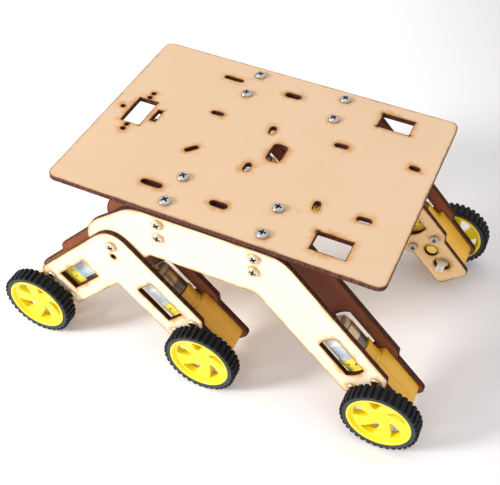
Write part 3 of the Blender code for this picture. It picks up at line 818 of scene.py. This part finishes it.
def strap_mesh():
    """A band from the collar up one flat of the motor, over its end and down the other."""
    half = [(36.9, 8.1), (40.0, 7.98), (46.0, 7.95), (51.0, 7.95), (55.0, 7.6), (57.4, 6.3), (58.3, 4.0),
            (58.5, 1.5)]
    path = smooth_path(half + [(u, -v) for u, v in reversed(half)], 5)
    width, thick = 5.6, 0.26
    bm = bmesh.new()
    rings = []
    for k, p in enumerate(path):
        along = (path[min(k + 1, len(path) - 1)] - path[max(k - 1, 0)]).normalized()
        out = Vector((-along.y, along.x)) * thick
        a, b = p + out, p - out
        rings.append([(a.x, -width, a.y), (a.x, width, a.y), (b.x, width, b.y), (b.x, -width, b.y)])
    loops = loft(bm, rings)
    cap(bm, loops[0])
    cap(bm, loops[-1])
    return mesh_of("motor_strap", bm, [CLEAR])


def shaft_mesh():
    """The double-flatted nylon output shaft, with a screw hole in each end."""
    half, out, r, flat = HALF_V, HALF_V + 9.0, 2.7, 1.85
    outer = [(half, r, r), (half, r, flat), (out - 0.25, r, flat), (out, r - 0.25, flat - 0.2),
             (out, 0.85, 0.85), (out - 3, 0.8, 0.8)]
    steps = [(-v, a, b) for v, a, b in reversed(outer)] + outer
    bm = bmesh.new()
    loops = loft(bm, [[(x, y, v) for x, y in flatted(a, b, 48)] for v, a, b in steps])
    cap(bm, loops[0])
    cap(bm, loops[-1])
    return mesh_of("output_shaft", bm, [WHITE])


def drives():
    """Each drive's name, side, the body that carries its motor, and its leg's frame."""
    for word, side in SIDES:
        for spot in PLACES:
            name = f"{spot}_{word}"
            pos = Vector(JOINTS[f"wheel_spin_{name}"]["pos_m"])
            low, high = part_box(f"gearbox_{name}")
            centre = Vector((pos.x, (low.y + high.y) / 2, pos.z))
            angle = math.pi / 4 + (LEAN if spot == "front" else 0.0)
            back = 1 if spot == "rear" else -1
            up = Vector((back * math.cos(angle), 0, math.sin(angle)))
            out = side * Y
            yield name, side, JOINTS[f"wheel_spin_{name}"]["parent"], basis(centre, up, out.cross(up), out)


def build_motors():
    meshes = {"shell": gearbox_mesh(), "collar": collar_mesh(), "can": can_mesh(), "cap": end_cap_mesh(),
              "terminal": terminal_mesh(), "strap": strap_mesh()}
    for name, _, body, at in drives():
        place(f"gearbox_shell_{name}", meshes["shell"], at, body, (f"gearbox_{name}",))
        place(f"gearbox_collar_{name}", meshes["collar"], at, body)
        place(f"motor_body_{name}", meshes["can"], at, body, (f"motor_can_{name}",))
        place(f"motor_end_cap_{name}", meshes["cap"], at, body)
        place(f"motor_strap_{name}", meshes["strap"], at, body, bevel=0.1)
        for letter, shift in (("a", 6.0), ("b", -6.0)):
            tab = at @ Matrix.Translation((0, shift * MM, 0)) @ Matrix.Rotation(math.pi / 2, 4, "X")
            place(f"motor_terminal_{letter}_{name}", meshes["terminal"], tab, body)
            build_motor_bolt(name, letter, body, at)


def build_motor_bolt(name, letter, body, at):
    """A long bolt through both plates and the gearbox, with a nut inboard."""
    across = BOLT_N if letter == "a" else -BOLT_N
    outside = HALF_V + GAP + PLATE + SEAT
    spin = across + at.translation.x * 40
    bolt = at @ Matrix.Translation(Vector((BOLT_U, across, outside)) * MM) @ Matrix.Rotation(spin, 4, "Z")
    place(f"motor_bolt_{letter}_{name}", MOTOR_BOLT, bolt, body)
    seat = at @ Matrix.Translation(Vector((BOLT_U, across, -outside)) * MM) @ Matrix.Rotation(math.pi, 4, "X")
    place(f"motor_nut_{letter}_{name}", NUT, seat @ Matrix.Rotation(spin, 4, "Z"), body)


# ---------------------------------------------------------------- wheels, about Z, out from their inner face
SWIRL = ((6.4, 38), (8.0, 46), (10.4, 44), (13.0, 41), (15.6, 35), (16.0, 18), (15.7, 3), (13.0, 8),
         (10.2, 15), (8.0, 23))
DISC_RISE = ((HUB_R, WHEEL_W - 4.4), (DISC_R, WHEEL_W - 2.2))      # the disc's cone: radius, height


def swirl_outline(k):
    """The smooth outline of one opening between two spokes, through SWIRL's (radius, degrees)."""
    pts = []
    for r, degrees in SWIRL:
        t = math.radians(degrees + 360 / SPOKES * k)
        pts.append((r * math.cos(t), r * math.sin(t)))
    return smooth_path(pts, 5, closed=True)


def rim_mesh():
    """A coned disc with curved openings between its spokes."""
    loops = [ring(DISC_R + 0.2, 0, 96), *[[(*p, 0) for p in swirl_outline(k)] for k in range(SPOKES)]]
    starts = np.array([p[:2] for loop in loops for p in loop])
    finishes = np.array([p[:2] for loop in loops for p in loop[1:] + loop[:1]])
    radii = (3.4, 5.2, 6.4, 8, 10, 12, 14, 15.6, 16.6)
    extra = np.array([p[:2] for r in radii for p in ring(r, 0, int(6 * r))])
    ends = (starts, finishes)
    extra = extra[inside(extra, ends) & (gaps(extra, ends) > 0.35)]
    pts, tris = fill(starts, finishes, extra)
    (r0, z0), (r1, z1) = DISC_RISE

    def height(x, y):
        share = max(0.0, min(1.0, (math.hypot(x, y) - r0) / (r1 - r0)))
        return z0 + (z1 - z0) * share ** 1.3

    bm = bmesh.new()
    slab(bm, pts, tris, lambda x, y: (x, y, height(x, y) - 4.2), lambda x, y: (x, y, height(x, y)))
    return mesh_of("rim_disc", bm, [YELLOW], 30)


def barrel_mesh():
    """The rim's outer band, rounded at its outer lip."""
    bm = bmesh.new()
    profile = [(17.2, 6.9), (17.4, 7.6), (17.7, 8.6), (18.0, 9.15), (18.3, 9.38), (19.0, 9.4), (19.3, 9.25),
               (RIM_R, 9.0), (RIM_R, 0.2), (19.2, 0.0), (17.8, 0.0), (17.5, 0.3), (17.2, 5.0)]
    lathe(bm, profile, 96, closed=True)
    return mesh_of("rim_barrel", bm, [YELLOW], 40)


def hub_mesh():
    """The hub: a low nose outside, and a tube towards the motor with a bore for the shaft."""
    bm = bmesh.new()
    top = DISC_RISE[0][1]
    profile = [(0, top + 0.25), (0.9, top + 0.25), (1.25, top + 0.4), (1.6, top + 0.75), (3.7, top + 0.8),
               (4.2, top + 0.68), (4.6, top + 0.3), (HUB_R, top - 0.1), (HUB_R, -1.5), (HUB_R - 0.3, -1.8),
               (3.1, -1.8), (2.85, -1.5), (2.85, 4.5), (0, 4.5)]
    lathe(bm, profile, 48)
    return mesh_of("rim_hub", bm, [YELLOW], 40)


def tyre_mesh():
    """A band with straight lugs across it and a smooth sidewall inside their ends."""
    bm = bmesh.new()
    step = math.tau / LUGS
    tip_r, root = WHEEL_R - 0.02, WHEEL_R - 1.5
    corners = ((-0.40, root), (-0.34, root + 0.15), (-0.27, tip_r - 0.2), (-0.22, tip_r),
               (0.22, tip_r), (0.27, tip_r - 0.2), (0.34, root + 0.15), (0.40, root))
    angles = [(step * (k + share), r) for k in range(LUGS) for share, r in corners]

    def tread(z, drop):
        return [((r - drop) * math.cos(t), (r - drop) * math.sin(t), z) for t, r in angles]

    def plain(r, z):
        return [(r * math.cos(t), r * math.sin(t), z) for t, _ in angles]

    rings = [plain(TYRE_IN, 0.25), plain(TYRE_IN + 0.25, 0), plain(root - 0.3, 0), tread(0.1, 0.25),
             tread(0.45, 0), tread(WHEEL_W - 0.45, 0), tread(WHEEL_W - 0.1, 0.25), plain(root - 0.3, WHEEL_W),
             plain(root - 0.5, WHEEL_W - 0.15), plain(TYRE_IN + 0.5, WHEEL_W - 0.15),
             plain(TYRE_IN + 0.3, WHEEL_W), plain(TYRE_IN, WHEEL_W - 0.25)]
    loft(bm, rings, closed=True)
    # Faces inside the lugs' roots take the sidewall rubber with its painted sheen.
    for face in bm.faces:
        middle = face.calc_center_median()
        face.material_index = int(math.hypot(middle.x, middle.y) < root - 0.2)
    return mesh_of("tyre_tread", bm, [RUBBER, SIDEWALL], 30)


TURNED = {"front_right": 10, "middle_right": 0, "rear_right": -28,
          "front_left": 24, "middle_left": -12, "rear_left": 40}      # how each wheel stands, degrees


def turned(mesh, name):
    """A copy of a wheel's mesh, turned in the mesh itself, so that the piece's box stays tight."""
    made = mesh.copy()
    made.name = f"{mesh.name}_{name}"
    made.transform(Matrix.Rotation(math.radians(TURNED[name]), 4, "Z"))
    return made


def build_wheels():
    disc, barrel, hub, tyre, shaft = rim_mesh(), barrel_mesh(), hub_mesh(), tyre_mesh(), shaft_mesh()
    for name, side, _, at in drives():
        low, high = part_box(f"tyre_{name}")
        axle = basis(at.translation, -side * X, Z, side * Y)
        face = axle.copy()
        face.translation.y = low.y if side > 0 else high.y
        body = f"wheel_{name}"
        standing = turned(disc, name)
        place(f"rim_disc_{name}", standing, face, body, (f"wheel_rim_{name}",), 0.22)
        place(f"rim_barrel_{name}", barrel, face, body)
        place(f"rim_hub_{name}", hub, face, body)
        standing = turned(tyre, name)
        place(f"tyre_tread_{name}", standing, face, body, (f"tyre_{name}",))
        place(f"shaft_{name}", shaft, axle, body, (f"output_shaft_{name}",))


# ---------------------------------------------------------------- studio
CAMERA_ANGLES = (24.59, 45.22, -0.68)                # turn, height and roll, degrees
CAMERA_AT, CAMERA_LENS = (0.16130, -0.36095, 0.44197), 61.85


def build_floor():
    """Pale paper with painted shade that turns it greyer to the right of the camera's view."""
    bpy.ops.mesh.primitive_plane_add(size=8.0, location=(0, 0, -0.0002))
    floor = bpy.context.object
    floor.name = "floor"
    look = Look("paper_floor", (0.90, 0.89, 0.90), 0.9, Specular_IOR_Level=0.15)
    paper = look.mix(look.fit(look.noise(3, 2), 0.3, 0.7), (0.94, 0.93, 0.935), (0.96, 0.95, 0.96))
    turn = look.node("ShaderNodeVectorRotate", {"Vector": look.coords, "Angle": math.radians(-24.6)})
    across = look.node("ShaderNodeSeparateXYZ", {"Vector": turn.outputs[0]}).outputs["X"]
    # The grey towards the right is painted shade, standing in for the light falling off.
    look.set("Base Color", look.mix(look.fit(across, -0.10, 0.42), paper, (0.55, 0.535, 0.53)))
    floor.data.materials.append(look.mat)


def area(name, place_at, target, size, watts, colour):
    """A round soft light at place_at, facing target."""
    light = bpy.data.lights.new(name, "AREA")
    light.shape, light.size, light.energy, light.color = "DISK", size, watts, colour
    ob = bpy.data.objects.new(name, light)
    ob.location = place_at
    ob.rotation_euler = (Vector(target) - Vector(place_at)).to_track_quat("-Z", "Y").to_euler()
    bpy.context.scene.collection.objects.link(ob)


def build_lights():
    world = bpy.data.worlds.new("studio")
    world.use_nodes = True
    background = world.node_tree.nodes["Background"]
    background.inputs["Color"].default_value = (0.975, 0.975, 1.0, 1.0)
    background.inputs["Strength"].default_value = 0.98
    bpy.context.scene.world = world
    area("window", (-1.45, -1.3, 1.05), (0, 0, 0.05), 0.6, 44, (1.0, 0.985, 0.95))
    area("ceiling", (-0.35, 0.1, 1.5), (0, 0, 0), 1.0, 1.5, (1.0, 0.98, 0.97))
    bpy.context.scene.view_settings.view_transform = "Standard"


def build_camera():
    azimuth, elevation, roll = (math.radians(d) for d in CAMERA_ANGLES)
    back = Vector((math.sin(azimuth) * math.cos(elevation), -math.cos(azimuth) * math.cos(elevation),
                   math.sin(elevation)))
    right = (-back).cross(Z).normalized()
    up = right.cross(-back)
    right, up = (right * math.cos(roll) + up * math.sin(roll), up * math.cos(roll) - right * math.sin(roll))
    camera = bpy.data.cameras.new("camera")
    camera.lens, camera.sensor_width = CAMERA_LENS, 36.0
    ob = bpy.data.objects.new("camera", camera)
    ob.matrix_world = basis(Vector(CAMERA_AT), right, up, back)
    bpy.context.scene.collection.objects.link(ob)
    bpy.context.scene.camera = ob


build_boards()
build_deck_screws()
build_pivots()
build_brackets()
build_motors()
build_wheels()
build_floor()
build_lights()
build_camera()
